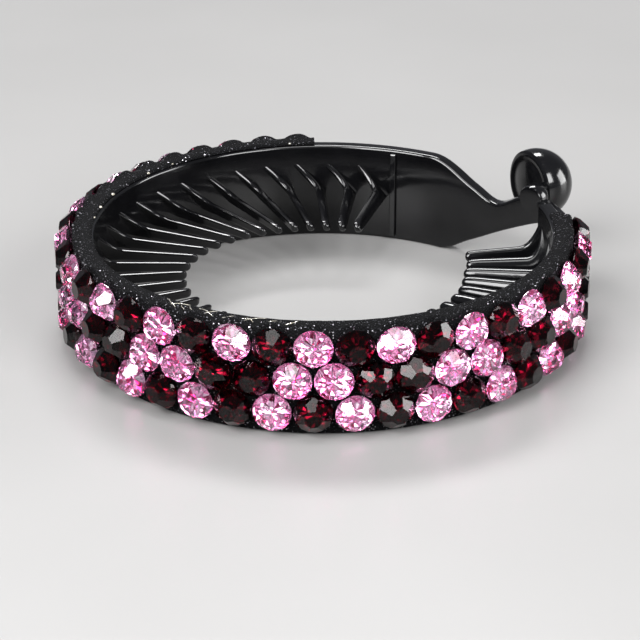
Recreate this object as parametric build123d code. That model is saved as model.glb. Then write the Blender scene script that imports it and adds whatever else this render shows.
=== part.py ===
from build123d import *
import os
from math import asin, atan2, cos, degrees, pi, radians, sin, sqrt

# A comb-toothed bun ring: a springy C-shaped moulding with inward teeth, an outside band of
# round rhinestones on glitter fabric, and a tongue with a thumb button that snaps the ring shut.
# Millimetres. The ring's axis is Z, it stands on z = 0 and its middle front faces -Y.
# Azimuths are degrees anticlockwise from +X, seen from above.

# ---- rhinestone band ----
stone_pitch = 5.3            # centre to centre along a row
stone_diameter = 5.2
stones_per_turn = 42
stone_angle = 360 / stones_per_turn
girdle_radius = stone_pitch * stones_per_turn / (2 * pi)
row_spacing = 4.61
bottom_row_z = 3.45
row_heights = {"bottom": bottom_row_z, "middle": bottom_row_z + row_spacing,
               "top": bottom_row_z + 2 * row_spacing}
front_azimuth = -92.0        # azimuth of stone number 0
first_stone = -20            # the stone at the back, beside the plain tail
last_stone = 11              # the stone beside the catch
crown_height = 2.1
crown_taper = 32
pavilion_height = 0.5
pavilion_taper = 55
stone_facets = 8

# ---- layers, from the inside out ----
wall_inner = 31.9
wall_outer = 34.0
glue_outer = 34.2
fabric_outer = girdle_radius - pavilion_height
wall_top = 14.6
fabric_bottom = 0.3
fabric_top = 15.2
fabric_inner = wall_inner + 0.3      # where the fold over the top edge stops
scallop_radius = 3.0

# ---- where the band and its flexing sections begin and end ----
band_start = 92.2
band_end = 366.5
wall_end = 374.5
tail_cut = 91.75
section_cuts = {"back_left": -13.5, "left_front": -5.5}      # in stone numbers
kerf = 0.12
step_low = (row_heights["bottom"] + row_heights["middle"]) / 2
step_high = (row_heights["middle"] + row_heights["top"]) / 2
hinge_radius = girdle_radius + crown_height + 0.3

# ---- comb teeth ----
comb_aim = (1.3, 3.8)        # every finger points at this spot from its root
comb_centre = (0.2, -0.7)    # the fingertips lie on an oval about this one
comb_half_size = (19.4, 17.7)
shorter_from = 353           # past this azimuth the fingers shorten toward the clasp
shorter_by = 0.11            # per degree
tooth_tip_z = 7.3
tooth_tip_height = 1.5
tooth_root_low = 6.6
tooth_root_z = 8.6           # top of the finger where it meets the wall
tooth_thickness = 1.1
rib_run = 2.8                # how far from the wall the rib leaves the finger
rib_high = 12.6
rib_lean = 45                # the ribs climb the wall at a slant, anticlockwise
first_tooth = -23            # numbered like the stones, a quarter step further on
last_tooth = 12
end_rib_azimuth = 70.2

# ---- tail, tongue, button and catch ----
tongue_azimuth = 50.0        # the tongue leaves the ring's circle here, as a tangent
tongue_cut = 51.5
hook_inner = 35.05           # the hook arm runs outside the wall, concentric with it
hook_outer = 36.75
hook_end = 8.6
bead_radius = 0.7
catch_bead_azimuth = 12.4
hook_bead_azimuth = 10.25
pad_along = 13.0             # distance along the tongue from where it leaves the circle
pad_z = 12.2
pad_radius = 2.0
button_along = 10.2          # the knob is a ball with a flat on the ring's side
button_outward = 37.5
button_z = 12.3
button_radius = 5.3
button_flat = 1.5            # from the ball's middle to its flat
button_edge = 0.35
button_turn = 20             # the knob faces this much further round than the tongue
boss_radius = 1.6


def polar(radius, azimuth, z=0.0):
    """A point at this radius and azimuth."""
    return (radius * cos(radians(azimuth)), radius * sin(radians(azimuth)), z)


def stone_azimuth(number):
    """Azimuth of a stone, or of any place on the band numbered in stone steps."""
    return front_azimuth + number * stone_angle


def arc_block(inner, outer, bottom, top, start, end):
    """A piece of a tube between two azimuths."""
    section = Plane.XZ * Pos((inner + outer) / 2, (bottom + top) / 2) * Rectangle(outer - inner, top - bottom)
    return Rot(0, 0, start) * revolve(section, Axis.Z, end - start)


def radial_plane(radius, azimuth, z):
    """A plane facing outward, with its x direction up."""
    return Plane(polar(radius, azimuth, z), x_dir=(0, 0, 1), z_dir=polar(1, azimuth))


# ---- the cuts that let the one moulding flex as hinged sections ----

def straight_kerf(azimuth, bottom=-1.0, top=17.0, inner=wall_inner - 1):
    """A thin radial slot through every layer."""
    slot = Box(hinge_radius + 1 - inner, kerf, top - bottom, align=(Align.MIN, Align.CENTER, Align.MIN))
    return Rot(0, 0, azimuth) * Pos(inner, 0, bottom) * slot


def stepped_kerf(cut, inner=wall_inner - 1):
    """A slot that steps half a stone sideways at the middle row, so it passes between the stones."""
    azimuth = stone_azimuth(cut)
    shifted = azimuth + stone_angle / 2
    half = kerf / 2
    slots = straight_kerf(azimuth, top=step_low + half, inner=inner)
    slots += straight_kerf(shifted, step_low - half, step_high + half, inner)
    slots += straight_kerf(azimuth, bottom=step_high - half, inner=inner)
    for step in (step_low, step_high):
        slots += arc_block(inner, hinge_radius + 1, step - half, step + half, azimuth, shifted)
    return slots


def in_sections(layer):
    """Cut a layer at the two stepped slots and name its pieces by where they lie."""
    for cut in section_cuts.values():
        layer -= stepped_kerf(cut)
    left_edge = stone_azimuth(section_cuts["back_left"]) % 360
    front_edge = stone_azimuth(section_cuts["left_front"]) % 360
    sections = {}
    for solid in layer.solids():
        middle = solid.bounding_box().center()
        azimuth = degrees(atan2(middle.Y, middle.X)) % 360
        if azimuth < left_edge:
            name = "back"
        elif azimuth < front_edge:
            name = "left"
        else:
            name = "front"
        sections[name] = solid
    return sections


# ---- band layers ----

def wall():
    return arc_block(wall_inner, wall_outer, 0, wall_top, tail_cut, wall_end) - straight_kerf(tail_cut)


def glue_film():
    return arc_block(wall_outer, glue_outer, fabric_bottom + 0.4, wall_top - 0.4, band_start, band_end)


def fabric_cover():
    """The strip on the outside, its fold over the wall's top edge, and a scallop over each top stone."""
    cover = arc_block(glue_outer, fabric_outer, fabric_bottom, fabric_top, band_start, band_end)
    cover += arc_block(fabric_inner, glue_outer, wall_top, fabric_top, band_start, band_end)
    rim = arc_block(glue_outer, fabric_outer, fabric_top - 2, fabric_top + 2, band_start, band_end)
    for number in range(first_stone, last_stone + 1):
        disc = Cylinder(scallop_radius, 4)
        cover += rim & (radial_plane(fabric_outer, stone_azimuth(number), row_heights["top"]) * disc)
    return cover


# ---- rhinestones ----

def stone():
    """One faceted round stone, standing on the flattened point of its pavilion."""
    outline = RegularPolygon(stone_diameter / 2, stone_facets)
    crown = extrude(outline, crown_height, taper=crown_taper)
    pavilion = extrude(outline, -pavilion_height, taper=pavilion_taper)
    return Pos(0, 0, pavilion_height) * (crown + pavilion)


def stone_colour(row, number):
    """The band repeats a pink triangle, point up, every four stones, with a lone pink between."""
    if row == "top":
        return "pink" if number % 2 == 0 else "garnet"
    if row == "bottom":
        return "garnet" if number % 2 == 0 else "pink"
    return "pink" if number % 4 in (0.5, 3.5) else "garnet"


def stone_section(row, number):
    """Which flexing section a stone is glued to."""
    shift = 0.5 if row == "middle" else 0.0
    if number < section_cuts["back_left"] + shift:
        return "back"
    if number < section_cuts["left_front"] + shift:
        return "left"
    return "front"


def stone_rows():
    """Every stone, grouped by section, row and colour."""
    blank = stone()
    groups = {}
    for row, height in row_heights.items():
        shift = 0.5 if row == "middle" else 0.0
        count = last_stone - first_stone + 1 - (1 if row == "middle" else 0)
        for step in range(count):
            number = first_stone + shift + step
            name = f"{stone_section(row, number)}_{row}_row_{stone_colour(row, number)}_stones"
            place = radial_plane(fabric_outer, stone_azimuth(number), height)
            groups.setdefault(name, []).append(place * blank)
    return groups


# ---- comb teeth ----

def finger_reach(azimuth):
    """Length and heading of the finger rooted at this azimuth, from its tip on the comb's oval."""
    root = polar(wall_inner, azimuth)
    run = (comb_aim[0] - root[0], comb_aim[1] - root[1])
    x, y = ((root[i] - comb_centre[i]) / comb_half_size[i] for i in (0, 1))
    run_x, run_y = (run[i] / comb_half_size[i] for i in (0, 1))
    square = run_x ** 2 + run_y ** 2
    half = x * run_x + y * run_y
    share = (-half - sqrt(half ** 2 - square * (x ** 2 + y ** 2 - 1))) / square
    past = max(0, (azimuth - 60) % 360 + 60 - shorter_from)
    length = share * sqrt(run[0] ** 2 + run[1] ** 2) - shorter_by * past
    return length, degrees(atan2(-run[1], -run[0]))


def finger(length):
    """The free part of a tooth, pointing along -X from the wall, with a round tip."""
    tip_x = -length
    tip_high = (tip_x + 0.5, tooth_tip_z + tooth_tip_height / 2)
    tip_low = (tip_x + 0.5, tooth_tip_z - tooth_tip_height / 2)
    outline = Line(tip_high, (1.0, tooth_root_z))
    outline += Line((1.0, tooth_root_z), (1.0, tooth_root_low))
    outline += Line((1.0, tooth_root_low), tip_low)
    outline += ThreePointArc(tip_low, (tip_x, tooth_tip_z), tip_high)
    return extrude(Plane.XZ * make_face(outline), tooth_thickness / 2, both=True)


def rib():
    """The slanted rib that carries a tooth's root up the wall."""
    rise = (rib_high - tooth_tip_z) / cos(radians(rib_lean))
    curve = Spline((-rib_run, 0.4), (-0.6, rise), tangents=[(1, 0.25), (0.15, 1)])
    curve += Polyline((-0.6, rise), (1.0, rise), (1.0, 0), (-rib_run, 0), (-rib_run, 0.4))
    plate = extrude(Plane.XZ * make_face(curve), tooth_thickness / 2, both=True)
    return Pos(0, 0, tooth_tip_z) * Rot(-rib_lean, 0, 0) * plate


def placed_tooth(azimuth, cutter=None):
    """A tooth growing from the wall at this azimuth. The cutter trims its rib where the section ends."""
    root = polar(wall_inner, azimuth)
    length, heading = finger_reach(azimuth)
    climb = Pos(*root) * Rot(0, 0, azimuth) * rib()
    if cutter:
        climb -= cutter
    whole = (Pos(*root) * Rot(0, 0, heading) * finger(length) + climb) & Cylinder(wall_inner, 40)
    return max(whole.solids(), key=lambda piece: piece.volume)


def teeth():
    """The comb, grouped by the section that each tooth grows from."""
    edges = {"tail": -21 + 0.5, "back": section_cuts["back_left"], "left": section_cuts["left_front"]}
    tail_kerf = straight_kerf(tail_cut, inner=wall_inner - 6)
    cutters = {-22: tail_kerf, -21: tail_kerf}
    for cut in section_cuts.values():
        for beside in (-1.5, -0.5):
            cutters[int(cut + beside)] = stepped_kerf(cut, wall_inner - 6)
    cutters[last_tooth] = arc_block(wall_inner - 4, wall_inner + 1, 0, wall_top, wall_end, wall_end + 20)
    groups = {"tail": [], "back": [], "left": [], "front": []}
    for number in range(first_tooth, last_tooth + 1):
        section = next((name for name, edge in edges.items() if number < edge), "front")
        groups[section].append(placed_tooth(stone_azimuth(number + 0.25), cutters.get(number)))
    return groups


def end_rib():
    """A low upright rib that closes off the toothed stretch of the inner wall."""
    rib = Box(1.0, 0.9, wall_top - 1.2, align=(Align.CENTER, Align.CENTER, Align.MIN))
    return (Rot(0, 0, end_rib_azimuth) * Pos(wall_inner, 0, 0.6) * rib) & Cylinder(wall_inner, 40)


# ---- tail and tongue ----

def along_tongue(distance, outward):
    """A plan point at a distance along the tongue's straight run and a distance out from the axis."""
    ahead = polar(1, tongue_azimuth - 90)
    out = polar(1, tongue_azimuth)
    return (ahead[0] * distance + out[0] * outward, ahead[1] * distance + out[1] * outward)


def tongue_plane(outward=0.0):
    """A plane square to the tongue's straight run, facing out: its x is up and its y is along."""
    return Plane((*along_tongue(0, outward), 0), x_dir=(0, 0, 1), z_dir=polar(1, tongue_azimuth))


def side_point(along, height):
    """A point of the tongue's side view, in the tongue plane."""
    return (height, along)


def side_outline():
    """The tail seen square on to its tongue: full height, an S-curve down to the neck, then up to the pad."""
    shoulder = side_point(-5.6, wall_top)
    crest = side_point(11.0, 12.0)
    hook_root_low = side_point(14.8, 8.9)
    heel = side_point(-3.6, 0)
    corners = [crest, side_point(16.5, 12.3), side_point(hook_outer, 12.3), side_point(hook_outer, 9.3),
               hook_root_low]
    back_corners = [heel, side_point(-wall_outer, 0), side_point(-wall_outer, wall_top), shoulder]
    outline = Spline(shoulder, side_point(2.4, 11.3), side_point(6.6, 9.8), crest,
                     tangents=[side_point(1, 0), side_point(1, 0.9)])
    outline += Polyline(*corners)
    outline += Spline(hook_root_low, side_point(8.4, 6.0), heel,
                      tangents=[side_point(-1, -0.4), side_point(-1, -0.2)])
    outline += Polyline(*back_corners)
    pad = Pos(*side_point(pad_along, pad_z)) * Circle(pad_radius)
    return make_face(outline) + pad


def side_cut(solid):
    """Keep only what lies inside the tail's side outline."""
    return solid & extrude(tongue_plane() * side_outline(), 60)


def tail_plate():
    """The plain stretch of the moulding, from the end of the band to the root of the tongue."""
    plate = arc_block(wall_inner, wall_outer, 0, wall_top, tongue_cut, tail_cut)
    plate = plate - straight_kerf(tail_cut) - straight_kerf(tongue_cut)
    return side_cut(plate)


def tongue():
    """The springy tongue: a tangent run out from the ring's circle, then a hook arm round the wall's end."""
    inner_run = sqrt(hook_inner ** 2 - wall_inner ** 2)
    outer_run = sqrt(hook_outer ** 2 - wall_outer ** 2)
    inner_bend = tongue_azimuth - degrees(asin(inner_run / hook_inner))
    outer_bend = tongue_azimuth - degrees(asin(outer_run / hook_outer))
    root = tongue_cut - tongue_azimuth
    plan = CenterArc((0, 0), wall_inner, tongue_cut, -root)
    plan += Line(along_tongue(0, wall_inner), along_tongue(inner_run, wall_inner))
    plan += CenterArc((0, 0), hook_inner, inner_bend, hook_end - inner_bend)
    plan += Line(polar(hook_inner, hook_end)[:2], polar(hook_outer, hook_end)[:2])
    plan += CenterArc((0, 0), hook_outer, hook_end, outer_bend - hook_end)
    plan += Line(along_tongue(outer_run, wall_outer), along_tongue(0, wall_outer))
    plan += CenterArc((0, 0), wall_outer, tongue_azimuth, root)
    plan += Line(polar(wall_outer, tongue_cut)[:2], polar(wall_inner, tongue_cut)[:2])
    strip = extrude(make_face(plan), wall_top + 2)
    return side_cut(strip - straight_kerf(tongue_cut))


def catch_bead():
    """The upright bead on the bare end of the wall, which the hook arm snaps over."""
    bead = Pos(*polar(wall_outer, catch_bead_azimuth, 10.8)) * Cylinder(bead_radius, 6.0)
    return bead - Cylinder(wall_outer, 40)


def hook_bead():
    """The matching bead on the inside of the hook arm."""
    bead = Pos(*polar(hook_inner, hook_bead_azimuth, 10.8)) * Cylinder(bead_radius, 2.6)
    return bead & Cylinder(hook_inner, 40)


def button_plane():
    """A plane through the ball's middle, square to the knob's axis and facing out."""
    middle = (*along_tongue(button_along, button_outward), button_z)
    return Plane(middle, x_dir=(0, 0, 1), z_dir=polar(1, tongue_azimuth - button_turn))


def button_boss():
    """The short post between the tongue's pad and the flat of the thumb button."""
    post = tongue_plane(wall_outer) * Pos(*side_point(pad_along, pad_z)) * Cylinder(
        boss_radius, 4, align=(Align.CENTER, Align.CENTER, Align.MIN))
    beyond = button_plane() * Pos(0, 0, -button_flat) * Box(
        40, 40, 20, align=(Align.CENTER, Align.CENTER, Align.MIN))
    return post - beyond


def button():
    """The thumb button: a ball cut flat on the ring's side, with its edge softened."""
    ball = Sphere(button_radius)
    beyond = Pos(0, 0, -button_flat) * Box(20, 20, 10, align=(Align.CENTER, Align.CENTER, Align.MAX))
    knob = ball - beyond
    knob = fillet(knob.edges().filter_by(GeomType.CIRCLE), button_edge)
    return button_plane() * knob


def report_rows(groups):
    for name, solids in sorted(groups.items()):
        print(name, len(solids), "stones")


def main():
    nodes = {}
    for section, solid in in_sections(wall()).items():
        nodes[f"{section}_wall"] = [solid]
    for section, solid in in_sections(glue_film()).items():
        nodes[f"{section}_glue_film"] = [solid]
    for section, solid in in_sections(fabric_cover()).items():
        nodes[f"{section}_fabric"] = [solid]
    rows = stone_rows()
    report_rows(rows)
    nodes.update(rows)
    for section, solids in teeth().items():
        nodes[f"{section}_teeth"] = solids
    nodes["tail_plate"] = tail_plate().solids()
    nodes["end_rib"] = end_rib().solids()
    nodes["tongue"] = tongue().solids()
    nodes["catch_bead"] = catch_bead().solids()
    nodes["hook_bead"] = hook_bead().solids()
    nodes["button_boss"] = button_boss().solids()
    nodes["thumb_button"] = button().solids()
    os.makedirs("parts", exist_ok=True)
    for name, solids in nodes.items():
        shape = solids[0] if len(solids) == 1 else Compound(children=[Solid(s.wrapped) for s in solids])
        export_step(shape, f"parts/{name}.step")
    print(len(nodes), "nodes")


main()
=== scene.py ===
import math
import random

import bpy
from mathutils import Matrix, Vector, noise


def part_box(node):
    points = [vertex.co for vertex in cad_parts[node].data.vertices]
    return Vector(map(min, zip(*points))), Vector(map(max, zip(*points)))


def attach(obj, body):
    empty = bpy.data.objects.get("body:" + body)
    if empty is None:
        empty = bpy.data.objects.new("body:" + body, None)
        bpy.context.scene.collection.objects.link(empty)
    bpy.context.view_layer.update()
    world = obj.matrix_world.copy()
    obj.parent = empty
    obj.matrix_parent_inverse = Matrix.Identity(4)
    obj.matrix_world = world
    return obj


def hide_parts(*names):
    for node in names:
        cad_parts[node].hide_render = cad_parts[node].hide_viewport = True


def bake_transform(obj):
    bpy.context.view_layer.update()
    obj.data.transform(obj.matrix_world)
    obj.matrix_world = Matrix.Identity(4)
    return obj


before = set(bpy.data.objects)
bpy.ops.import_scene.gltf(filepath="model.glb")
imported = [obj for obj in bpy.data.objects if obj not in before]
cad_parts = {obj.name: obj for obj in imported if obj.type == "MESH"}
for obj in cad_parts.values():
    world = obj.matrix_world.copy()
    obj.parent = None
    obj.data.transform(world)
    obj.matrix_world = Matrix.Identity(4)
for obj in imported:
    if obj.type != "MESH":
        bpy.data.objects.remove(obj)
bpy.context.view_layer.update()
random.seed(7)

# Metres and degrees. The ring's axis is Z and its middle front faces -Y. Azimuths run anticlockwise
# from +X, seen from above. They go on past 360 toward the clasp, where the decorated wall ends.
MM = 0.001

# ---- places round the ring that no CAD box states ----
STONES_PER_TURN = 42
STONE_ANGLE = 360 / STONES_PER_TURN
FRONT_AZIMUTH = -92.0
FIRST_STONE, LAST_STONE = -20, 11
LEFT_CUT, BACK_CUT = -5.5, -13.5      # stone numbers where the sections meet
BAND_START, BAND_END = 92.2, 366.5
WALL_END = 374.5
TONGUE_AZIMUTH = 50.0
TURN_START = 60                       # in the plain tail, clear of the teeth


def radii(node):
    """The smallest and largest distance of a CAD node's points from the ring's axis."""
    found = [math.hypot(v.co.x, v.co.y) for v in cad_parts[node].data.vertices]
    return min(found), max(found)


# ---- sizes measured on the CAD model, and those that it doesn't state ----
WALL_INNER = radii("front_teeth")[1]
WALL_OUTER = radii("front_wall")[1]
WALL_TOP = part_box("front_wall")[1].z
WALL_CORNER = 0.45 * MM
WALL_STEP = 1.5                       # degrees between a wall's sections
FABRIC_INNER = radii("front_glue_film")[1]
FABRIC_OUTER = radii("front_fabric")[1]
FABRIC_FOLD = radii("front_fabric")[0]
FABRIC_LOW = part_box("front_fabric")[0].z
FABRIC_HIGH = 15.2 * MM
FABRIC_STEP = 0.5
FABRIC_WAVE = 0.05 * MM               # how unevenly the tape lies
SCALLOP_RADIUS = 3.0 * MM
ROW_BOX = {row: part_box(f"front_{row}_row_pink_stones") for row in ("top", "middle", "bottom")}
ROW_Z = {row: sum(corner.z for corner in box) / 2 for row, box in ROW_BOX.items()}
STONE_RADIUS = (ROW_BOX["top"][1].z - ROW_BOX["top"][0].z) / 2
HOOK_INNER, HOOK_OUTER = 35.05 * MM, 36.75 * MM
HOOK_END = 8.6                        # azimuth
TONGUE_STEP = 0.06                    # of the tongue's run, and of the hook's
BUTTON_ALONG, BUTTON_OUT = 10.2 * MM, 37.5 * MM
BUTTON_FLAT = 1.5 * MM                # from the ball's middle to its flat
BUTTON_TURN = 20                      # the knob faces this much further round than the tongue
PAD_ALONG, PAD_Z, PAD_RADIUS = 13.0 * MM, 12.2 * MM, 2.0 * MM

# ---- comb ----
FIRST_TOOTH, LAST_TOOTH = -23, 12     # numbered like the stones
TOOTH_SHIFT = 0.25                    # and set a quarter step further on
COMB_AIM = Vector((1.3, 3.8)) * MM    # every finger points at this spot
COMB_CENTRE = Vector((0.2, -0.7)) * MM
COMB_HALF_SIZE = (19.4 * MM, 17.7 * MM)   # the fingertips lie on this oval about the comb's centre
SHORTER_FROM = 353                    # past this azimuth the fingers shorten toward the clasp
SHORTER_BY = 0.11 * MM                # per degree
TOOTH_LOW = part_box("front_teeth")[0].z
TOOTH_Z = 7.3 * MM                    # middle of a fingertip
FINGER_HALF_HEIGHT, FINGER_HALF_WIDTH = 0.75 * MM, 0.5 * MM
RIB_HIGH = 12.6 * MM
RIB_RUN = 2.8 * MM                    # how far from the wall the rib leaves the finger
RIB_LEAN = 5.3 * MM                   # how far round the wall the rib's top has moved
RIB_HALF_WIDTH = 0.55 * MM


def polar(radius, azimuth, z=0.0):
    """The point at this distance from the ring's axis, this azimuth and this height."""
    a = math.radians(azimuth)
    return Vector((radius * math.cos(a), radius * math.sin(a), z))


def within_turn(azimuth):
    """The same azimuth, counted so that it grows from the tail, round the front, to the clasp."""
    return (azimuth - TURN_START) % 360 + TURN_START


def stone_azimuth(number):
    """Stones are numbered from the middle of the front, growing toward the clasp."""
    return FRONT_AZIMUTH + number * STONE_ANGLE


def steps(start, end, spacing):
    """Evenly spaced values from start to end, about this far apart."""
    count = max(2, round(abs(end - start) / spacing))
    return [start + (end - start) * i / count for i in range(count + 1)]


# ---- where the long pieces part, from one section of the ring to the next ----
# where the long visual pieces part: each runs from its own azimuth here to the one listed before it
SEAMS = {"front": 255.0, "left": 187.0, "back": 122.0, "tail": 68.0}


def bend(piece):
    """Bake the placement of a piece that runs round the ring into its mesh; it is left on no body."""
    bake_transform(piece)


# ---- mesh helpers ----

def mesh_object(name, points, faces, smooth_angle=35):
    mesh = bpy.data.meshes.new(name)
    mesh.from_pydata([tuple(p) for p in points], [], faces)
    mesh.update()
    piece = bpy.data.objects.new(name, mesh)
    bpy.context.scene.collection.objects.link(piece)
    if smooth_angle:
        mesh.shade_smooth()
        mesh.set_sharp_from_angle(angle=math.radians(smooth_angle))
    return piece


def wrap_coordinates(piece, sections):
    """Give a swept bar flat coordinates in metres: x along it, y around its outline."""
    n = len(sections[0])
    along, x = [0.0], 0.0
    for a, b in zip(sections, sections[1:]):
        x += (b[0] - a[0]).length
        along.append(x)
    around = [0.0]
    first = sections[0]
    for j in range(n):
        around.append(around[-1] + (first[(j + 1) % n] - first[j]).length)
    layer = piece.data.uv_layers.new(name="wrap")
    for face in piece.data.polygons:
        columns = [piece.data.loops[k].vertex_index % n for k in face.loop_indices]
        closing = max(columns) - min(columns) > n / 2
        for k, column in zip(face.loop_indices, columns):
            row = piece.data.loops[k].vertex_index // n
            y = around[n] if closing and column == 0 else around[column]
            layer.data[k].uv = (along[row], y)


def bundle(name, bars, cap_start=False, cap_end=False, smooth_angle=35):
    """Several separate bars as one piece. Each bar is a row of closed outlines, joined in turn."""
    points, faces = [], []
    for sections in bars:
        n = len(sections[0])
        base = len(points)
        for section in sections:
            points.extend(section)
        last = len(points) - n
        for start in range(base, last, n):
            for j in range(n):
                k = (j + 1) % n
                faces.append((start + j, start + k, start + n + k, start + n + j))
        if cap_start:
            faces.append(tuple(reversed(range(base, base + n))))
        if cap_end:
            faces.append(tuple(range(last, last + n)))
    return mesh_object(name, points, faces, smooth_angle)


def sweep(name, sections, cap_start=False, cap_end=False, smooth_angle=35):
    """Join closed outlines, one per station, into one bar."""
    return bundle(name, [sections], cap_start, cap_end, smooth_angle)


def rounded_box(low_r, high_r, low_z, high_z, corner, segments=4):
    """The outline of an upright bar's section with rounded corners, as (radius, height) pairs."""
    centres = [(high_r - corner, high_z - corner, 0), (low_r + corner, high_z - corner, 90),
               (low_r + corner, low_z + corner, 180), (high_r - corner, low_z + corner, 270)]
    outline = []
    for r, z, turn in centres:
        for i in range(segments + 1):
            a = math.radians(turn + 90 * i / segments)
            outline.append((r + corner * math.cos(a), z + corner * math.sin(a)))
    return outline


def circle(middle, across, up, radius, count):
    """Points round a circle, starting on its across axis."""
    turns = [2 * math.pi * i / count for i in range(count)]
    return [middle + (across * math.cos(a) + up * math.sin(a)) * radius for a in turns]


def smooth_step(t):
    """Rises from 0 to 1, level at both ends."""
    t = min(1.0, max(0.0, t))
    return t * t * (3 - 2 * t)


# ---- node material helpers ----

class Nodes:
    """A short way to write a node material. An input takes a value or another node's output."""

    def __init__(self, name):
        self.material = bpy.data.materials.new(name)
        self.material.use_nodes = True
        self.tree = self.material.node_tree
        self.shader = self.tree.nodes["Principled BSDF"]
        self.output = self.tree.nodes["Material Output"]

    def add(self, kind, inputs=None, **settings):
        node = self.tree.nodes.new(kind)
        for key, value in settings.items():
            setattr(node, key, value)
        for key, value in (inputs or {}).items():
            self.feed(node.inputs[key], value)
        return node

    def feed(self, socket, value):
        if isinstance(value, bpy.types.NodeSocket):
            self.tree.links.new(value, socket)
        else:
            socket.default_value = value

    def shade(self, **inputs):
        for key, value in inputs.items():
            self.feed(self.shader.inputs[key.replace("_", " ")], value)

    def ramp(self, value, stops):
        node = self.add("ShaderNodeValToRGB", {"Fac": value})
        ramp = node.color_ramp
        while len(ramp.elements) < len(stops):
            ramp.elements.new(0.5)
        for element, (place, colour) in zip(ramp.elements, stops):
            element.position = place
            element.color = (*colour, 1) if len(colour) == 3 else colour
        return node.outputs["Color"]

    def noise(self, scale, detail=3.0, roughness=0.5, vector=None):
        inputs = {"Scale": scale, "Detail": detail, "Roughness": roughness}
        if vector is not None:
            inputs["Vector"] = vector
        return self.add("ShaderNodeTexNoise", inputs).outputs["Fac"]

    def position(self):
        return self.add("ShaderNodeTexCoord").outputs["Object"]

    def span(self, value, low, high, new_low=0.0, new_high=1.0):
        node = self.add("ShaderNodeMapRange", {"Value": value, "From Min": low, "From Max": high,
                                               "To Min": new_low, "To Max": new_high})
        return node.outputs["Result"]

    def bump(self, height, strength, distance, normal=None):
        inputs = {"Height": height, "Strength": strength, "Distance": distance}
        if normal is not None:
            inputs["Normal"] = normal
        return self.add("ShaderNodeBump", inputs).outputs["Normal"]


def black_plastic():
    """Glossy injection-moulded black plastic: faint flow ripple, fine scratches and a little dust."""
    m = Nodes("black_plastic")
    place = m.position()
    flow = m.noise(160, 3, 0.5, place)
    dust = m.noise(2600, 2, 0.6, place)
    stretched = m.add("ShaderNodeMapping", {"Vector": place, "Scale": (220.0, 220.0, 5200.0)})
    scratches = m.noise(1.0, 4, 0.7, stretched.outputs["Vector"])
    colour = m.ramp(flow, [(0.3, (0.0010, 0.0010, 0.0012)), (0.7, (0.0024, 0.0024, 0.0028))])
    speck = m.span(dust, 0.70, 0.78)
    grey = (0.014, 0.014, 0.015, 1)
    dusty = m.add("ShaderNodeMix", {"Factor": speck, "A": colour, "B": grey}, data_type="RGBA")
    rough = m.span(scratches, 0.35, 0.75, 0.09, 0.20)
    ripple = m.bump(flow, 0.12, 0.0004)
    m.shade(Base_Color=dusty.outputs["Result"], Roughness=rough, IOR=1.46, Specular_IOR_Level=0.42)
    m.shade(Normal=m.bump(scratches, 0.05, 0.00004, ripple))
    return m.material


def thread_wave(m, coordinate, pitch):
    """A sine of one flat coordinate, one full turn every two threads."""
    turned = m.add("ShaderNodeMath", {0: coordinate, 1: math.pi / pitch}, operation="MULTIPLY").outputs[0]
    return m.add("ShaderNodeMath", {0: turned}, operation="SINE").outputs[0]


def glitter_fabric():
    """Black woven tape: a plain weave, a little fluff, and glitter flakes that each face their own way. The
    threads' colour follows the weave's height: painted shade, darker in the dips between threads.
    """
    m = Nodes("glitter_fabric")
    place = m.position()
    flat = m.add("ShaderNodeUVMap", uv_map="wrap").outputs["UV"]
    wander = m.noise(900, 2, 0.6, place)
    wander = m.span(wander, 0, 1, -0.00012, 0.00012)
    parts = m.add("ShaderNodeSeparateXYZ", {"Vector": flat})
    along = m.add("ShaderNodeMath", {0: parts.outputs["X"], 1: wander}, operation="ADD").outputs[0]
    across = m.add("ShaderNodeMath", {0: parts.outputs["Y"], 1: wander}, operation="ADD").outputs[0]
    warp = thread_wave(m, along, 0.30 * MM)
    weft = thread_wave(m, across, 0.26 * MM)
    crossing = m.add("ShaderNodeMath", {0: warp, 1: weft}, operation="MULTIPLY").outputs[0]
    height = m.span(crossing, -1, 1)
    fluff = m.noise(5200, 3, 0.7, place)
    woolly = m.add("ShaderNodeMath", {0: height, 1: fluff}, operation="MULTIPLY").outputs[0]
    # painted shade: the thread colour is darker where the weave dips and lighter on its raised crossings
    thread = m.ramp(woolly, [(0.05, (0.0003, 0.0003, 0.0004)), (0.75, (0.0042, 0.0042, 0.005))])

    flakes = m.add("ShaderNodeTexVoronoi", {"Vector": place, "Scale": 7200.0, "Randomness": 1.0})
    random_colour = flakes.outputs["Color"]
    tilt = m.add("ShaderNodeVectorMath", {0: random_colour, 1: (0.5, 0.5, 0.5)}, operation="SUBTRACT")
    tilt = m.add("ShaderNodeVectorMath", {0: tilt.outputs[0], "Scale": 1.9}, operation="SCALE")
    straight = m.add("ShaderNodeNewGeometry").outputs["Normal"]
    facing = m.add("ShaderNodeVectorMath", {0: straight, 1: tilt.outputs[0]}, operation="ADD")
    facing = m.add("ShaderNodeVectorMath", {0: facing.outputs[0]}, operation="NORMALIZE")
    pick = m.add("ShaderNodeSeparateColor", {"Color": random_colour}).outputs["Red"]
    flake = m.span(pick, 0.91, 0.92)
    metal = m.ramp(pick, [(0.91, (0.02, 0.02, 0.023)), (0.97, (0.08, 0.08, 0.09)),
                          (1.0, (0.45, 0.43, 0.47))])
    colour = m.add("ShaderNodeMix", {"Factor": flake, "A": thread, "B": metal}, data_type="RGBA")
    woven = m.bump(woolly, 0.9, 0.00012)
    normal = m.add("ShaderNodeMix", {"Factor": flake, "A": woven, "B": facing.outputs[0]},
                   data_type="VECTOR")
    m.shade(Base_Color=colour.outputs["Result"], Metallic=flake, Normal=normal.outputs["Result"])
    m.shade(Roughness=m.span(flake, 0, 1, 0.85, 0.28), Specular_IOR_Level=0.06)
    return m.material


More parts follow.
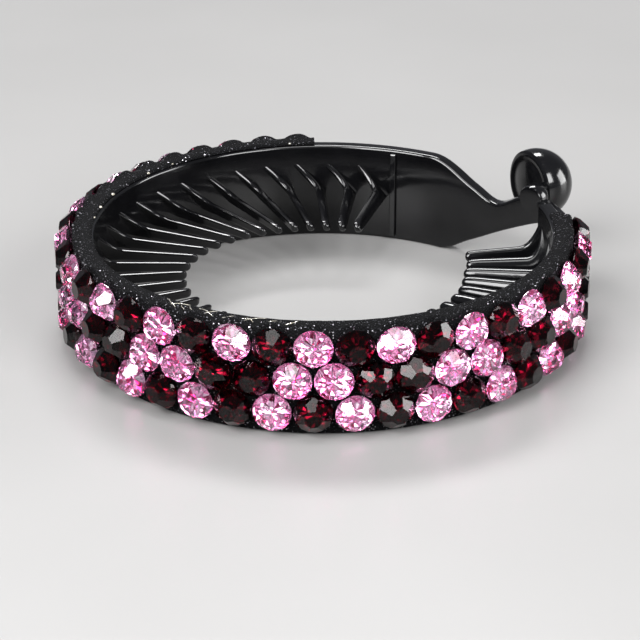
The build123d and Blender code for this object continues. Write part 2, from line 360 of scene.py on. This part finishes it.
def crystal(name, deep, clear, shine):
    """The tinted glass of a chaton, faintly cloudy, with polishing marks. A shine of 1 is real glass;
    a dark stone takes less, because the pale floor would wash it out."""
    m = Nodes(name)
    place = m.position()
    cloud = m.noise(420, 2, 0.5, place)
    colour = m.ramp(cloud, [(0.3, deep), (0.75, clear)])
    polish = m.noise(5200, 2, 0.5, place)
    m.shade(Base_Color=colour, Transmission_Weight=1.0, IOR=1.52, Specular_Tint=(shine, shine, shine, 1))
    m.shade(Roughness=m.span(polish, 0.4, 0.8, 0.0, 0.015), Normal=m.bump(cloud, 0.03, 0.0001))
    return m.material


def foil(name, stops, rough):
    """The foil behind a chaton: each of its small facets has its own brightness. The hue is the foil's own;
    the spread from near black to near white is painted shade and painted glints of facets that miss or catch
    the light.
    """
    m = Nodes(name)
    pick = m.add("ShaderNodeNewGeometry").outputs["Random Per Island"]
    grain = m.noise(3000, 2, 0.5, m.position())
    colour = m.ramp(pick, stops)
    m.shade(Base_Color=colour, Metallic=1.0, Roughness=m.span(grain, 0.3, 0.7, rough, rough + 0.06))
    return m.material


def dried_glue():
    """Amber-clear glue that squeezed out and set."""
    m = Nodes("dried_glue")
    cloud = m.noise(900, 3, 0.6, m.position())
    colour = m.ramp(cloud, [(0.3, (0.60, 0.54, 0.42)), (0.7, (0.9, 0.87, 0.78))])
    m.shade(Base_Color=colour, Transmission_Weight=0.7, IOR=1.45, Roughness=0.12)
    m.shade(Normal=m.bump(cloud, 0.2, 0.0002))
    return m.material


PLASTIC = black_plastic()
FABRIC = glitter_fabric()
# foil colours picked per facet: the pink or garnet hue is the foil's own, the darkest stops are painted
# shade and the brightest are painted glints
PINK_FOIL_GLINT_STOPS = [(0.0, (0.10, 0.003, 0.02)), (0.10, (0.50, 0.03, 0.14)), (0.16, (0.82, 0.24, 0.48)),
              (0.55, (0.86, 0.46, 0.70)), (0.78, (0.92, 0.66, 0.84)), (1.0, (1.0, 0.90, 0.97))]
GARNET_FOIL_GLINT_STOPS = [(0.0, (0.015, 0.002, 0.005)), (0.6, (0.07, 0.009, 0.022)), (0.88, (0.22, 0.03, 0.07)),
                (1.0, (0.55, 0.14, 0.22))]
GLASS = {"pink": crystal("pink_crystal", (1.0, 0.82, 0.93), (1.0, 0.92, 0.98), 1.0),
         "garnet": crystal("garnet_crystal", (0.12, 0.006, 0.024), (0.20, 0.012, 0.044), 0.30)}
FOIL = {"pink": foil("pink_foil", PINK_FOIL_GLINT_STOPS, 0.15), "garnet": foil("garnet_foil", GARNET_FOIL_GLINT_STOPS, 0.10)}
GLUE = dried_glue()


def finish_piece(piece, slot_name, *materials):
    for material in materials:
        piece.data.materials.append(material)


# ---- the moulded wall, tail and tongue ----

def wall_section(azimuth):
    """The moulded wall's section, standing on the floor."""
    outline = rounded_box(WALL_INNER, WALL_OUTER, 0, WALL_TOP, WALL_CORNER)
    return [polar(r, azimuth, z) for r, z in outline]


def ring_wall(name, start, end, cap_end=False):
    return sweep(name, [wall_section(a) for a in steps(start, end, WALL_STEP)], cap_end=cap_end)


def along_tongue(distance, outward):
    """A plan point this far along the tongue from where it leaves the circle, and this far from the axis."""
    return polar(distance, TONGUE_AZIMUTH - 90) + polar(outward, TONGUE_AZIMUTH)


def curve_through(points, x):
    """A smooth curve through a few (x, y) points, flat before the first and after the last."""
    if x <= points[0][0]:
        return points[0][1]
    if x >= points[-1][0]:
        return points[-1][1]
    i = max(k for k in range(len(points) - 1) if points[k][0] <= x)
    slopes = []
    for k in (i, i + 1):
        low, high = points[max(k - 1, 0)], points[min(k + 1, len(points) - 1)]
        slopes.append((high[1] - low[1]) / (high[0] - low[0]))
    (x0, y0), (x1, y1) = points[i], points[i + 1]
    if i == 0:
        slopes[0] = 0.0
    h = x1 - x0
    t = (x - x0) / h
    return ((2 * t ** 3 - 3 * t ** 2 + 1) * y0 + (t ** 3 - 2 * t ** 2 + t) * h * slopes[0]
            + (3 * t ** 2 - 2 * t ** 3) * y1 + (t ** 3 - t ** 2) * h * slopes[1])


# heights of the tail's and tongue's edges in mm, against the distance along the tongue
TAIL_TOP = [(-5.6, 14.6), (2.4, 11.3), (6.6, 9.8), (11.0, 12.0), (13.5, 12.4), (24.0, 12.3)]
TAIL_BOTTOM = [(-3.6, 0.0), (2.0, 2.6), (8.4, 6.0), (14.8, 8.9), (17.5, 9.25), (24.0, 9.3)]


def tail_stations(start):
    """Inner and outer plan points down the tail, along the tongue and round its hook arm."""
    stations = [(polar(WALL_INNER, a), polar(WALL_OUTER, a)) for a in steps(start, TONGUE_AZIMUTH, 1.0)]
    inner_run = math.sqrt(HOOK_INNER ** 2 - WALL_INNER ** 2)
    outer_run = math.sqrt(HOOK_OUTER ** 2 - WALL_OUTER ** 2)
    for t in steps(TONGUE_STEP, 1 - TONGUE_STEP, TONGUE_STEP):
        stations.append((along_tongue(inner_run * t, WALL_INNER), along_tongue(outer_run * t, WALL_OUTER)))
    inner_bend = TONGUE_AZIMUTH - math.degrees(math.asin(inner_run / HOOK_INNER))
    outer_bend = TONGUE_AZIMUTH - math.degrees(math.asin(outer_run / HOOK_OUTER))
    for t in steps(TONGUE_STEP, 1, TONGUE_STEP):
        inner = inner_bend + (HOOK_END - inner_bend) * t
        outer = outer_bend + (HOOK_END - outer_bend) * t
        stations.append((polar(HOOK_INNER, inner), polar(HOOK_OUTER, outer)))
    return stations


def tail_piece(name, start, stop=None):
    """The plain tail: its top falls in an S-curve to the neck and its heel rises off the floor."""
    ahead = polar(1, TONGUE_AZIMUTH - 90)
    sections = []
    for inner, outer in tail_stations(start):
        middle = (inner + outer) / 2
        if stop is not None and math.degrees(math.atan2(middle.y, middle.x)) < stop - 0.01:
            break
        distance = middle.dot(ahead) / MM
        low = curve_through(TAIL_BOTTOM, distance) * MM
        high = curve_through(TAIL_TOP, distance) * MM
        thick = (outer - inner).length
        corner = min(WALL_CORNER, thick * 0.4)
        outline = rounded_box(0, thick, low, high, corner)
        out = (outer - inner).normalized()
        sections.append([inner + out * r + Vector((0, 0, z)) for r, z in outline])
    return sweep(name, sections, cap_end=stop is None)


def tongue_pad():
    """The round pad on the tongue that carries the button's post, with a soft edge."""
    centre = along_tongue(PAD_ALONG, 0) + Vector((0, 0, PAD_Z))
    out = polar(1, TONGUE_AZIMUTH)
    ahead = polar(1, TONGUE_AZIMUTH - 90)
    up = Vector((0, 0, 1))
    rings = [(0.72, -0.12), (0.93, -0.04), (1.0, 0.25), (1.0, 1.75), (0.93, 2.04), (0.72, 2.1)]
    sections = [circle(centre + out * (WALL_INNER + depth * MM), ahead, up, PAD_RADIUS * share, 40)
                for share, depth in rings]
    return sweep("tongue_pad", sections, cap_start=True, cap_end=True)


def knob():
    """The thumb button: a ball cut flat on the ring's side, with a shallow ring sunk into the flat."""
    low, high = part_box("thumb_button")
    radius = (high.z - low.z) / 2
    axis = polar(1, TONGUE_AZIMUTH - BUTTON_TURN)
    side = Vector((-axis.y, axis.x, 0))
    up = Vector((0, 0, 1))
    middle = along_tongue(BUTTON_ALONG, BUTTON_OUT) + up * ((low.z + high.z) / 2)
    rim = math.sqrt(radius ** 2 - BUTTON_FLAT ** 2)
    sunk = -BUTTON_FLAT + 0.12 * MM
    profile = [(0.002 * MM, -BUTTON_FLAT), (rim * 0.62, -BUTTON_FLAT), (rim * 0.66, sunk),
               (rim * 0.80, sunk), (rim * 0.84, -BUTTON_FLAT), (rim * 0.93, -BUTTON_FLAT)]
    soft_edge = 0.28 * MM
    start = math.asin(-(BUTTON_FLAT - soft_edge) / radius)
    for angle in steps(start, math.pi / 2, math.radians(4)):
        profile.append((max(radius * math.cos(angle), 0.002 * MM), radius * math.sin(angle)))
    sections = [circle(middle + axis * out, side, up, r, 64) for r, out in profile]
    return sweep("knob", sections, cap_start=True, cap_end=True, smooth_angle=40)


def build_moulding():
    front = ring_wall("ring_wall_front", SEAMS["front"], WALL_END, cap_end=True)
    left = ring_wall("ring_wall_left", SEAMS["left"], SEAMS["front"])
    back = ring_wall("ring_wall_back", SEAMS["back"], SEAMS["left"])
    tail = tail_piece("ring_tail", SEAMS["back"], SEAMS["tail"])
    tongue = tail_piece("ring_tongue", SEAMS["tail"])
    pad = tongue_pad()
    thumb = knob()
    for piece in (front, left, back, tail, tongue, pad, thumb):
        finish_piece(piece, "black_plastic", PLASTIC)
    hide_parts("front_wall")
    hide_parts("left_wall")
    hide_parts("back_wall")
    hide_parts("tail_plate")
    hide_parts("tongue")
    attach(front, "front")
    bend(left)
    bend(back)
    bend(tail)
    bend(tongue)
    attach(pad, "tongue")
    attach(thumb, "tongue")
    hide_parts("thumb_button")


# ---- comb teeth ----

def tooth_rows(length):
    """A tooth from its tip to the wall: distance from the wall, low edge, high edge and half width."""
    blunt = 0.02 * MM
    rows = [(length, TOOTH_Z - 0.03 * MM, TOOTH_Z + 0.03 * MM, blunt)]
    for t in (0.08, 0.25, 0.55, 1.0):
        swell = math.sqrt(1 - (1 - t) ** 2)
        half_high = FINGER_HALF_HEIGHT * swell
        rows.append((length - FINGER_HALF_HEIGHT * t, TOOTH_Z - half_high, TOOTH_Z + half_high,
                     blunt + FINGER_HALF_WIDTH * swell))
    for distance in steps(length - 1.8 * MM, RIB_RUN, 1.4 * MM):
        t = 1 - distance / length
        rows.append((distance, TOOTH_Z - FINGER_HALF_HEIGHT * (1 - 0.05 * t),
                     TOOTH_Z + FINGER_HALF_HEIGHT + 0.5 * MM * t, FINGER_HALF_WIDTH * (1 + 0.08 * t)))
    shoulder = rows[-1][2]
    into_wall = 0.35 * MM
    for t in steps(0.12, 1, 0.11):
        distance = RIB_RUN * (1 - t) - into_wall * t
        high = shoulder + (RIB_HIGH - shoulder) * (0.12 * t + 0.88 * t ** 2.4)
        rows.append((distance, TOOTH_LOW, high, RIB_HALF_WIDTH))
    return rows


def tooth_tip(azimuth):
    """Where the tooth rooted at this azimuth ends: it points at the comb's aim and ends on its oval."""
    root = polar(WALL_INNER, azimuth).to_2d()
    run = COMB_AIM - root
    scaled_root = Vector((root - COMB_CENTRE)[i] / COMB_HALF_SIZE[i] for i in (0, 1))
    scaled_run = Vector(run[i] / COMB_HALF_SIZE[i] for i in (0, 1))
    square = scaled_run.length_squared
    half = scaled_root.dot(scaled_run)
    share = (-half - math.sqrt(half ** 2 - square * (scaled_root.length_squared - 1))) / square
    past = max(0, within_turn(azimuth) - SHORTER_FROM)
    return (root + run * share - run.normalized() * SHORTER_BY * past).to_3d()


def wall_distance(root, inward, side, aside):
    """How far inward the wall's face stands, this far to the side of a tooth's root."""
    half = root.dot(inward)
    rest = aside ** 2 + 2 * aside * root.dot(side)
    return -half - math.sqrt(half ** 2 - rest)


def tooth_sections(azimuth):
    """One tooth as a row of sections; its rib leans anticlockwise as it climbs the wall."""
    root = polar(WALL_INNER, azimuth)
    inward = tooth_tip(azimuth) - root
    length = inward.length
    inward.normalize()
    side = Vector((inward.y, -inward.x, 0))
    room = RIB_LEAN
    if azimuth % 360 < WALL_END - 360:
        room = math.radians(WALL_END - 360 - azimuth % 360) * WALL_INNER - RIB_HALF_WIDTH
    sections = []
    for distance, low, high, half in tooth_rows(length):
        corner = min(half * 0.8, (high - low) * 0.45)
        outline = rounded_box(-half, half, low, high, corner, 3)
        section = []
        for s, z in outline:
            climb = max(0.0, (z - TOOTH_Z) / (RIB_HIGH - TOOTH_Z))
            lean = min(room, RIB_LEAN * climb ** 1.25)
            back = wall_distance(root, inward, side, lean) * smooth_step(1 - distance / RIB_RUN)
            section.append(root + inward * (distance + back) + side * (s + lean) + Vector((0, 0, z)))
        sections.append(section)
    return sections


def build_teeth():
    groups = {"front": [], "left": [], "back": [], "tail": []}
    for number in range(FIRST_TOOTH, LAST_TOOTH + 1):
        azimuth = stone_azimuth(number + TOOTH_SHIFT)
        starts = ("front", "left", "back")
        section = next((name for name in starts if within_turn(azimuth) > SEAMS[name]), "tail")
        groups[section].append(tooth_sections(azimuth))
    for name, teeth in groups.items():
        piece = bundle(f"comb_teeth_{name}", teeth, cap_start=True, smooth_angle=50)
        finish_piece(piece, "black_plastic", PLASTIC)
        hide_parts(f"{name}_teeth")
        if name == "front":
            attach(piece, "front")
        else:
            bend(piece)


# ---- glitter tape ----

def scallop_height(azimuth):
    """The tape's outer edge rises in a bump over each top-row stone."""
    number = (azimuth - 360 - FRONT_AZIMUTH) / STONE_ANGLE
    off = abs(number - round(number)) * STONE_ANGLE
    sideways = math.radians(off) * FABRIC_OUTER
    rise = ROW_Z["top"] + math.sqrt(max(0.0, SCALLOP_RADIUS ** 2 - sideways ** 2))
    return max(FABRIC_HIGH - 0.25 * MM, rise)


def tape_section(azimuth):
    """The tape's section: up the outside of the wall, over its top edge, and a soft scalloped rim."""
    top = scallop_height(azimuth)
    high = FABRIC_HIGH
    outline = [
        (FABRIC_INNER, FABRIC_LOW), (FABRIC_INNER, WALL_TOP * 0.5), (FABRIC_INNER, WALL_TOP - 0.05 * MM),
        (FABRIC_FOLD + 0.25 * MM, WALL_TOP), (FABRIC_FOLD, WALL_TOP + 0.15 * MM),
        (FABRIC_FOLD + 0.1 * MM, high - 0.12 * MM), (FABRIC_FOLD + 0.5 * MM, high),
        (FABRIC_INNER - 0.7 * MM, high + 0.05 * MM), (FABRIC_INNER, high + (top - high) * 0.55),
        (FABRIC_INNER + 0.22 * MM, top - 0.06 * MM), (FABRIC_OUTER - 0.25 * MM, top),
        (FABRIC_OUTER, top - 0.2 * MM), (FABRIC_OUTER, WALL_TOP * 0.75), (FABRIC_OUTER, WALL_TOP * 0.5),
        (FABRIC_OUTER, WALL_TOP * 0.25), (FABRIC_OUTER, FABRIC_LOW + 0.15 * MM),
        (FABRIC_OUTER - 0.15 * MM, FABRIC_LOW),
    ]
    section = []
    for r, z in outline:
        place = polar(r, azimuth, z)
        wobble = noise.noise(place / (0.9 * MM)) * FABRIC_WAVE
        lift = noise.noise(place / (1.4 * MM) + Vector((9, 0, 0))) * FABRIC_WAVE
        section.append(polar(r + wobble * 0.6, azimuth, max(z + lift, FABRIC_LOW)))
    return section


def tape(name, start, end):
    """A length of the tape, given flat coordinates of the strip that it was before it was glued round the
    wall.
    """
    sections = [tape_section(a) for a in steps(start, end, FABRIC_STEP)]
    piece = sweep(name, sections, cap_start=True, cap_end=True, smooth_angle=60)
    wrap_coordinates(piece, sections)
    return piece


def build_tape():
    front = tape("glitter_tape_front", SEAMS["front"], BAND_END)
    left = tape("glitter_tape_left", SEAMS["left"], SEAMS["front"])
    back = tape("glitter_tape_back", SEAMS["back"], SEAMS["left"])
    end = tape("glitter_tape_end", BAND_START, SEAMS["back"])
    for piece in (front, left, back, end):
        finish_piece(piece, "glitter_fabric", FABRIC)
    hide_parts("front_fabric", "front_glue_film")
    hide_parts("left_fabric", "left_glue_film")
    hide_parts("back_fabric", "back_glue_film")
    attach(front, "front")
    bend(left)
    bend(back)
    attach(end, "back")


# ---- dried glue ----
# each drop's azimuth in degrees and its size in mm
DROPS = {"left": [(160, 0.30), (169, 0.26), (176, 0.18)], "back": [(99, 0.20), (134, 0.16), (143, 0.24)]}
HAIRS_START, HAIRS_END, HAIR_SPACING = 234, 262, 2.4
HAIR_REACH = (3.0, 7.0)
HAIR_LIFT = (0.15, 0.4)
HAIR_RADIUS = 0.035 * MM


def glue_drop(azimuth, radius, z, size):
    """A small round drop that set on the tape or the wall's inner face."""
    middle = polar(radius, azimuth, z)
    sections = []
    for i in range(1, 8):
        a = math.pi * (i / 8 - 0.5)
        ring = []
        for j in range(12):
            turn = 2 * math.pi * j / 12
            wide = size * math.cos(a) * (1 + 0.18 * noise.noise(middle * 900 + Vector((i, j, 0)) * 0.4))
            height = size * 0.6 * math.sin(a)
            ring.append(middle + Vector((wide * math.cos(turn), wide * math.sin(turn), height)))
        sections.append(ring)
    return sections


def glue_string(azimuth, reach, lift):
    """A hair of glue pulled out of the gun, stuck down at both ends across the tape's folded edge."""
    start = polar(FABRIC_INNER, azimuth, FABRIC_HIGH + 0.05 * MM)
    end = polar(FABRIC_FOLD - 0.05 * MM, azimuth + reach, FABRIC_HIGH - 0.5 * MM)
    side = (end - start).cross(Vector((0, 0, 1))).normalized()
    sections = []
    for t in steps(0, 1, 0.08):
        wave = 0.35 * MM * noise.noise(start * 700 + Vector((0, 0, 2.6 * t))) * math.sin(math.pi * t)
        middle = start.lerp(end, t) + side * wave + Vector((0, 0, lift * math.sin(math.pi * t)))
        sections.append(circle(middle, side, Vector((0, 0, 1)), HAIR_RADIUS, 6))
    return sections


def build_glue():
    """Drops on the rim at the far left, and hairs of glue over the rim at the front left."""
    radius, z = FABRIC_FOLD + 0.05 * MM, FABRIC_HIGH - 0.2 * MM
    for section, places in DROPS.items():
        bars = [glue_drop(azimuth, radius, z, size * MM) for azimuth, size in places]
        piece = bundle(f"glue_drops_{section}", bars, cap_start=True, cap_end=True, smooth_angle=60)
        finish_piece(piece, "glue", GLUE)
        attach(piece, section)
    hairs = []
    for azimuth in steps(HAIRS_START, HAIRS_END, HAIR_SPACING):
        reach = random.uniform(*HAIR_REACH) * random.choice((-1, 1))
        hairs.append(glue_string(azimuth, reach, random.uniform(*HAIR_LIFT) * MM))
    piece = bundle("glue_strings_front", hairs, cap_start=True, cap_end=True, smooth_angle=60)
    finish_piece(piece, "glue", GLUE)
    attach(piece, "front")


# ---- rhinestones ----
CROWN_HEIGHT = 1.75 * MM
TABLE_SHARE = 0.46
SHOULDER_SHARE = 0.90
GIRDLE_BAND = 0.16 * MM
GIRDLE_RISE = 0.60 * MM
FACET_SHRINK = 0.965
SPIN, TILT = 22.5, 2.5                # how far a stone may be turned and tipped by hand, in degrees


def circle_points(radius, z, count, turn):
    return [(radius * math.cos(math.radians(turn + 360 * i / count)),
             radius * math.sin(math.radians(turn + 360 * i / count)), z) for i in range(count)]


def crown_parts():
    """The glass of a chaton: a table, eight five-sided facets, sixteen triangles and a thin girdle.
    Points are (right, up, out) from the middle of its base."""
    girdle = STONE_RADIUS
    table = girdle * TABLE_SHARE
    shoulder = girdle * SHOULDER_SHARE
    to_flat = math.cos(math.radians(22.5))
    shoulder_z = CROWN_HEIGHT * (girdle - shoulder * to_flat) / (girdle - table * to_flat)
    base = GIRDLE_RISE + GIRDLE_BAND
    points = circle_points(table, base + CROWN_HEIGHT, 8, 22.5)
    points += circle_points(shoulder, base + shoulder_z, 8, 22.5)
    points += circle_points(girdle, base, 16, 0)
    points += circle_points(girdle, GIRDLE_RISE, 16, 0)
    faces = [tuple(range(8))]
    for i in range(8):
        before = (i - 1) % 8
        faces.append((before, 8 + before, 16 + 2 * i, 8 + i, i))
        faces.append((8 + i, 16 + 2 * i, 16 + 2 * i + 1))
        faces.append((8 + i, 16 + 2 * i + 1, 16 + (2 * i + 2) % 16))
    for i in range(16):
        j = (i + 1) % 16
        faces.append((16 + i, 32 + i, 32 + j, 16 + j))
    return points, faces


def foil_parts():
    """The foil behind the glass: a shallow bowl of small facets that lean this way and that, each
    drawn in a little from its neighbours. A corner is its share of the radius, height and turn."""
    points, faces = [], []

    def facet(*corners):
        start = len(points)
        places = [polar(STONE_RADIUS * share, turn, z) for share, z, turn in corners]
        middle = sum(places, Vector((0, 0, 0))) / len(places)
        points.extend(middle + (place - middle) * FACET_SHRINK for place in places)
        faces.append(tuple(range(start, start + len(corners))))

    for i in range(8):
        start, half, end = 45 * i, 45 * i + 22.5, 45 * i + 45
        peak = (0, 0.42 * MM, start)
        dip_start, dip_end = ((0.44, 0.06 * MM, turn) for turn in (start, end))
        crest = (0.40, 0.34 * MM, half)
        crest_start, crest_end = ((0.74, 0.38 * MM, turn) for turn in (start, end))
        dip = (0.76, 0.08 * MM, half)
        rim_start, rim, rim_end = ((1.0, GIRDLE_RISE, turn) for turn in (start, half, end))
        facet(peak, dip_start, crest)
        facet(peak, crest, dip_end)
        facet(dip_start, dip, crest)
        facet(crest, dip, dip_end)
        facet(dip_start, crest_start, dip)
        facet(dip_end, dip, crest_end)
        facet(crest_start, rim_start, rim, dip)
        facet(dip, rim, rim_end, crest_end)
    return points, faces


def stone_frame(azimuth, z):
    """The stone's own axes: right, up and out, standing on the tape, each set a hair unevenly."""
    out = polar(1, azimuth)
    right = polar(1, azimuth + 90)
    up = Vector((0, 0, 1))
    turn = Matrix((right, up, out)).transposed()
    for limit, axis in ((SPIN, "Z"), (TILT, "X"), (TILT, "Y")):
        turn = turn @ Matrix.Rotation(math.radians(random.uniform(-limit, limit)), 3, axis)
    return polar(FABRIC_OUTER, azimuth, z), turn


def stone_colour(row, number):
    """A pink triangle, point up, every four stones, with a lone pink between."""
    if row == "top":
        return "pink" if number % 2 == 0 else "garnet"
    if row == "bottom":
        return "garnet" if number % 2 == 0 else "pink"
    return "pink" if number % 4 in (0.5, 3.5) else "garnet"


def row_shift(row):
    """The middle row is set half a step further on."""
    return 0.5 if row == "middle" else 0.0


def stone_section(row, number):
    if number < BACK_CUT + row_shift(row):
        return "back"
    if number < LEFT_CUT + row_shift(row):
        return "left"
    return "front"


def build_stones():
    parts = (crown_parts(), foil_parts())
    groups = {}
    for row in ROW_Z:
        number = FIRST_STONE + row_shift(row)
        while number <= LAST_STONE:
            key = (stone_section(row, number), row, stone_colour(row, number))
            groups.setdefault(key, []).append(number)
            number += 1
    for (section, row, colour), numbers in sorted(groups.items()):
        points, faces, kinds = [], [], []
        for number in numbers:
            place, turn = stone_frame(stone_azimuth(number), ROW_Z[row])
            for kind, (part_points, part_faces) in enumerate(parts):
                base = len(points)
                points.extend(place + turn @ Vector(p) for p in part_points)
                faces.extend(tuple(base + i for i in face) for face in part_faces)
                kinds.extend([kind] * len(part_faces))
        piece = mesh_object(f"{colour}_chatons_{section}_{row}", points, faces, 0)
        finish_piece(piece, f"{colour}_crystal", GLASS[colour], FOIL[colour])
        piece.data.polygons.foreach_set("material_index", kinds)
        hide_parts(f"{section}_{row}_row_{colour}_stones")
        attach(piece, section)


# ---- CAD pieces that keep their shape ----
SOFT_EDGE = 0.12 * MM
WELD_REACH = 0.01 * MM


def dress_cad():
    """The small plain solids are shown as they are, in plastic, with their edges softened."""
    for name in ("catch_bead", "end_rib", "hook_bead", "button_boss"):
        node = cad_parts[name]
        node.data.materials.clear()
        node.data.materials.append(PLASTIC)
        weld = node.modifiers.new("weld", "WELD")
        weld.merge_threshold = WELD_REACH
        soft = node.modifiers.new("soft_edges", "BEVEL")
        soft.width = SOFT_EDGE
        soft.segments = 2
        soft.limit_method = "ANGLE"
        soft.angle_limit = math.radians(50)


# ---- floor, light and camera ----
FLOOR_REACH = 3.0
CAMERA_DISTANCE = 318 * MM
CAMERA_ELEVATION = 25.0
CAMERA_FOV = 16.35
CAMERA_TARGET = Vector((-0.4, 0.27, 0)) * MM
SENSOR_WIDTH = 36                     # millimetres, as Blender states lenses


def floor():
    """A plain pale floor, well beyond the camera's view."""
    m = Nodes("pale_floor")
    cloud = m.noise(14, 3, 0.5, m.position())
    m.shade(Base_Color=m.ramp(cloud, [(0.3, (0.160, 0.158, 0.156)), (0.7, (0.172, 0.170, 0.168))]))
    m.shade(Roughness=0.38, Specular_IOR_Level=0.25)
    corners = [(x * FLOOR_REACH, y * FLOOR_REACH, 0) for x, y in ((-1, -1), (1, -1), (1, 1), (-1, 1))]
    piece = mesh_object("floor", corners, [(0, 1, 2, 3)], 0)
    piece.data.materials.append(m.material)


def softbox(name, azimuth, elevation, distance, size, power):
    """A rectangular lamp that faces the middle of the ring."""
    light = bpy.data.lights.new(name, "AREA")
    light.shape = "RECTANGLE"
    light.size, light.size_y = size
    light.energy = power
    lamp = bpy.data.objects.new(name, light)
    bpy.context.scene.collection.objects.link(lamp)
    flat = distance * math.cos(math.radians(elevation))
    lamp.location = polar(flat, azimuth, distance * math.sin(math.radians(elevation)))
    lamp.rotation_euler = (-lamp.location).to_track_quat("-Z", "Y").to_euler()


def studio():
    """Soft daylight from all round and five softboxes; the Standard view keeps colours as they are."""
    world = bpy.data.worlds.new("studio")
    bpy.context.scene.world = world
    world.use_nodes = True
    background = world.node_tree.nodes["Background"]
    background.inputs["Color"].default_value = (0.9, 0.92, 1.0, 1)
    background.inputs["Strength"].default_value = 0.22
    bpy.context.scene.view_settings.view_transform = "Standard"
    softbox("key", -128, 38, 1.0, (0.60, 0.60), 27)
    softbox("fill", -48, 32, 1.1, (0.50, 0.54), 17)
    softbox("top", -95, 80, 1.0, (0.60, 0.40), 6.6)
    softbox("back", 100, 52, 1.1, (0.68, 0.24), 16)
    softbox("side", 4, 13, 1.0, (0.44, 0.50), 10)


def camera():
    data = bpy.data.cameras.new("camera")
    data.sensor_width = SENSOR_WIDTH
    data.lens = SENSOR_WIDTH / 2 / math.tan(math.radians(CAMERA_FOV / 2))
    data.clip_start = 0.01
    viewer = bpy.data.objects.new("camera", data)
    bpy.context.scene.collection.objects.link(viewer)
    e = math.radians(CAMERA_ELEVATION)
    viewer.location = CAMERA_TARGET + Vector((0, -math.cos(e), math.sin(e))) * CAMERA_DISTANCE
    viewer.rotation_euler = (CAMERA_TARGET - viewer.location).to_track_quat("-Z", "Y").to_euler()
    bpy.context.scene.camera = viewer


camera()
floor()
studio()
build_moulding()
build_teeth()
build_tape()
build_stones()
build_glue()
dress_cad()

bpy.context.view_layer.update()
